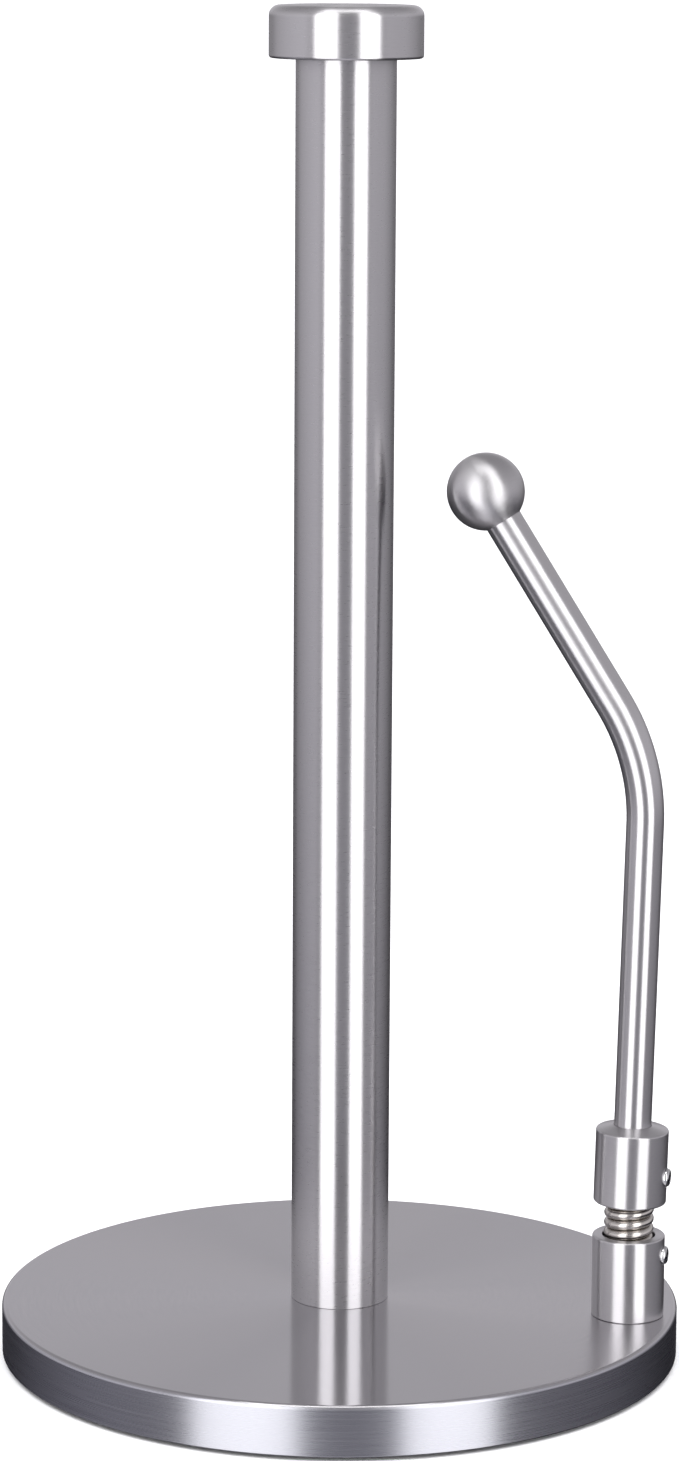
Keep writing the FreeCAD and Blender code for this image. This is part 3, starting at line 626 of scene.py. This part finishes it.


# Coil spring, in two halves

def half_spring(name, from_height, to_height, bodies, start, end):
    """A stretch of the wire between two heights of its centreline, in the spring's own frame."""
    coil_radius = SPRING_RADIUS - WIRE_RADIUS
    base_height = -(SPRING_GAP + 2 * SPRING_DEPTH) / 2 + WIRE_RADIUS
    climb = COIL_PITCH / TURN
    slope = Vector((0, coil_radius, climb)).normalized()
    steps = ceil((to_height - from_height) / COIL_PITCH * 72)
    route = []
    for k in range(steps + 1):
        height = from_height + (to_height - from_height) * k / steps
        angle = (height - base_height) / climb
        out = Vector((cos(angle), sin(angle), 0))
        along = Vector((-sin(angle), cos(angle), 0)) * slope.y + Vector((0, 0, slope.z))
        route.append((out * coil_radius + Vector((0, 0, height)), along, out, WIRE_RADIUS))
    piece = swept(name, route, SPRING, SPRING_STEEL, steps=28)
    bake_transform(piece)
    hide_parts("coil_spring")
    return piece


HALF_WIRE = SPRING_GAP / 2 + SPRING_DEPTH - WIRE_RADIUS
LOWER_BEND = ((ARM_X, 0, COLLAR_TOP), (ARM_X, 0, SPRING_MIDDLE - WIRE_RADIUS))
UPPER_BEND = ((ARM_X, 0, SPRING_MIDDLE + WIRE_RADIUS), (ARM_X, 0, SPRING_MIDDLE + MOUTH))
half_spring("spring_lower", -HALF_WIRE, 0, ("base", "spring"), *LOWER_BEND)
half_spring("spring_upper", 0, HALF_WIRE, ("spring", "arm"), *UPPER_BEND)


# Finishes of the CAD pieces that stay

KEPT = {
    "base_weight": CAST_IRON,
    "non_slip_pad": RUBBER,
    "cap_core": ALUMINIUM,
    "post_foot_plug": ZINC,
    "post_top_plug": ZINC,
    "post_bolt": ZINC,
    "post_flat_washer": ZINC,
    "post_lock_washer": ZINC,
    "cap_stud": ZINC,
    "ball_stud": ZINC,
    "collar_bolt": ZINC,
    "collar_flat_washer": ZINC,
    "collar_lock_washer": ZINC,
}
for node, material in KEPT.items():
    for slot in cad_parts[node].material_slots:
        slot.link = "OBJECT"
        slot.material = material


# Camera at the photograph's viewing angle, in degrees and in millimetres from the base's middle

VIEW_AZIMUTH, VIEW_DISTANCE, VIEW_HEIGHT, VIEW_SIDE = 11.06, 1113.3, 371.0, -6.6
VIEW_DOWN, VIEW_PAN, VIEW_ROLL, VIEW_LENS = 10.597, -0.299, 0.313, 110.31

camera = placed("camera", bpy.data.cameras.new("camera"), (
    Matrix.Rotation(radians(VIEW_AZIMUTH), 4, "Z")
    @ Matrix.Translation((VIEW_SIDE * MM, -VIEW_DISTANCE * MM, VIEW_HEIGHT * MM))
    @ Matrix.Rotation(radians(VIEW_PAN), 4, "Z")
    @ Matrix.Rotation(pi / 2 - radians(VIEW_DOWN), 4, "X")
    @ Matrix.Rotation(radians(VIEW_ROLL), 4, "Z")
))
camera.data.lens = VIEW_LENS
camera.data.sensor_width = 36
camera.data.clip_start = 0.05
camera.data.clip_end = 100
bpy.context.scene.camera = camera


# Floor and studio

def wide_floor():
    """A plain pale floor, which curves up far behind every view."""
    outline = rounded([(0, 0), (6600, 0, 4000), (9000, 2400)])
    floor = turned("floor", outline, BASE, floor_finish(), steps=96)
    floor.visible_glossy = False
    floor.visible_shadow = False


def floor_finish():
    nodes = Nodes("pale_floor")
    place = nodes.add("ShaderNodeTexCoord").outputs["Object"]
    patches = nodes.noise(place, 3.0)
    nodes.drive(Base_Color=nodes.colour(patches, (0.84, 0.84, 0.85), (0.86, 0.86, 0.87)))
    nodes.fix(Roughness=0.9)
    return nodes.material


def panel(name, azimuth, distance, middle_height, width, height, glow, down=0.0):
    """A soft light facing the object, with its distances in metres.

    Its azimuth is in degrees to the right of the photograph's view."""
    lamp = bpy.data.lights.new(name, "AREA")
    lamp.shape = "RECTANGLE"
    lamp.size, lamp.size_y = width, height
    lamp.energy = glow * width * height * pi
    placed(name, lamp, (
        Matrix.Rotation(radians(VIEW_AZIMUTH + azimuth), 4, "Z")
        @ Matrix.Translation((0, -distance, middle_height))
        @ Matrix.Rotation(pi / 2 - radians(down), 4, "X")
    )).visible_camera = False


def blend_by(tree, value, limit, stops):
    """A colour that goes through its stops as the value goes from -limit to limit."""
    ramp = tree.nodes.new("ShaderNodeValToRGB")
    shift = tree.nodes.new("ShaderNodeMapRange")
    shift.inputs["From Min"].default_value, shift.inputs["From Max"].default_value = -limit, limit
    tree.links.new(value, shift.inputs["Value"])
    tree.links.new(shift.outputs[0], ramp.inputs[0])
    ramp.color_ramp.elements.remove(ramp.color_ramp.elements[1])
    for i, (place, *shade) in enumerate(stops):
        place = (place / limit + 1) / 2
        stop = ramp.color_ramp.elements[0] if i == 0 else ramp.color_ramp.elements.new(place)
        stop.position = place
        stop.color = (*(shade if len(shade) == 3 else shade * 3), 1)
    return ramp.outputs[0]


def studio():
    """Surroundings that shade from floor to ceiling and all the way round, with three soft panels."""
    world = bpy.data.worlds.new("studio")
    bpy.context.scene.world = world
    world.use_nodes = True
    tree = world.node_tree

    def math(operation, first, second):
        node = tree.nodes.new("ShaderNodeMath")
        node.operation = operation
        for socket, value in zip(node.inputs, (first, second)):
            if isinstance(value, float):
                socket.default_value = value
            else:
                tree.links.new(value, socket)
        return node.outputs[0]

    direction = tree.nodes.new("ShaderNodeTexCoord").outputs["Generated"]
    turned_round = tree.nodes.new("ShaderNodeVectorRotate")
    turned_round.rotation_type = "Z_AXIS"
    turned_round.inputs["Angle"].default_value = -radians(VIEW_AZIMUTH)
    apart = tree.nodes.new("ShaderNodeSeparateXYZ")
    tree.links.new(direction, turned_round.inputs["Vector"])
    tree.links.new(turned_round.outputs[0], apart.inputs[0])
    upward = apart.outputs[2]
    # 0 is the front, where the photo was taken from, and positive is to its right
    azimuth = math("ARCTAN2", apart.outputs[0], math("MULTIPLY", apart.outputs[1], -1.0))
    round_it = math("DIVIDE", azimuth, pi / 180)
    # (height of the direction, from -1 straight down to 1 straight up, then red, green and blue)
    shades = [
        (-1.0, 0.40, 0.39, 0.42),
        (-0.62, 0.36, 0.355, 0.39),
        (-0.47, 0.27, 0.27, 0.31),
        (-0.38, 0.02, 0.02, 0.04),
        (-0.29, 0.02, 0.02, 0.04),
        (-0.18, 0.43, 0.415, 0.45),
        (-0.08, 0.66, 0.645, 0.68),
        (0.22, 0.66, 0.645, 0.68),
        (0.45, 0.50, 0.49, 0.51),
        (0.65, 0.40, 0.39, 0.41),
        (1.0, 0.40, 0.39, 0.41),
    ]
    # (degrees round from the front, half the strength there), for three bands of height
    floor_level = [
        (-180, 0.05), (-130, 0.20), (-105, 0.50), (-90, 0.60), (-70, 0.18), (-52, 0.25), (-18, 0.85),
        (18, 0.85), (52, 0.20), (70, 0.05), (110, 0.10), (180, 0.05),
    ]
    below_eye = [
        (-180, 0.06), (-140, 0.20), (-124, 0.46), (-100, 0.66), (-64, 0.88), (-52, 0.55), (-18, 0.33),
        (18, 0.33), (52, 0.48), (64, 0.72), (100, 0.52), (124, 0.28), (140, 0.12), (180, 0.06),
    ]
    above_eye = [
        (-180, 0.50), (-150, 0.44), (-124, 0.50), (-100, 0.58), (-64, 0.66), (-52, 0.52), (-18, 0.33),
        (18, 0.33), (52, 0.42), (64, 0.56), (100, 0.56), (124, 0.50), (150, 0.44), (180, 0.50),
    ]
    level = blend_by(tree, round_it, 180, floor_level)
    for low, high, next_level in ((-0.42, -0.32, below_eye), (-0.06, 0.10, above_eye)):
        height = tree.nodes.new("ShaderNodeMapRange")
        height.inputs["From Min"].default_value, height.inputs["From Max"].default_value = low, high
        tree.links.new(upward, height.inputs["Value"])
        mix = tree.nodes.new("ShaderNodeMix")
        tree.links.new(height.outputs[0], mix.inputs["Factor"])
        tree.links.new(level, mix.inputs["A"])
        tree.links.new(blend_by(tree, round_it, 180, next_level), mix.inputs["B"])
        level = mix.outputs[0]
    background = tree.nodes["Background"]
    tree.links.new(blend_by(tree, upward, 1, shades), background.inputs["Color"])
    tree.links.new(math("MULTIPLY", level, 2.0), background.inputs["Strength"])
    panel("left_softbox", -31, 1.25, 0.55, 0.80, 2.3, 2.3)
    panel("right_softbox", 35.5, 1.25, 0.55, 0.70, 2.3, 2.3)
    panel("top_softbox", 0, 0.45, 1.75, 1.3, 0.6, 2.6, down=72)
    overhead = bpy.data.lights.new("overhead", "SUN")
    overhead.energy = 3.2
    overhead.angle = radians(100)
    # it whitens the floor, and is not to show in the steel
    placed("overhead", overhead, BASE).visible_glossy = False


wide_floor()
studio()
bpy.context.scene.view_settings.view_transform = "Standard"
